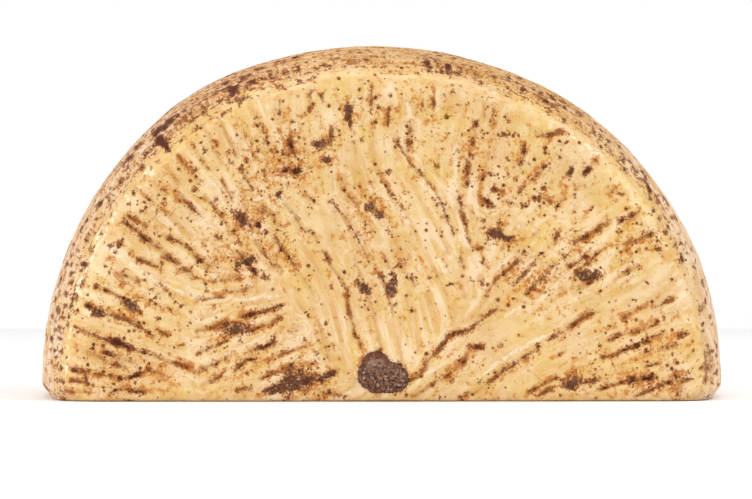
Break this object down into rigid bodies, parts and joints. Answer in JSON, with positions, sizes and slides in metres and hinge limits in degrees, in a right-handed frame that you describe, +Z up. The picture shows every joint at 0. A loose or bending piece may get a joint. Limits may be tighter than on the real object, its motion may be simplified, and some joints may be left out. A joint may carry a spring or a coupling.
{
  "type": "truffle moliterno cheese",
  "caption": "Half wheel of hard basket-moulded sheep's cheese with truffle, standing on its cut face, with a dark truffle plug at the middle of the wheel.",
  "frame": {"origin": "middle of the half wheel's box, on the cut face that it stands on", "axes": "+X along the cut, to the right as seen from the basket-marked face; +Y along the wheel's axis, away from that face; +Z up"},
  "size_m": [0.2198, 0.1306, 0.1129],
  "materials": {
    "rind": "waxy straw-yellow cheese rind, satin to glossy, stained orange and brown in its grooves",
    "truffle": "granular dark purple-brown truffle paste, moist"
  },
  "bodies": {
    "root": {"cheese": "rind", "truffle_plug": "truffle"}
  },
  "joints": []
}
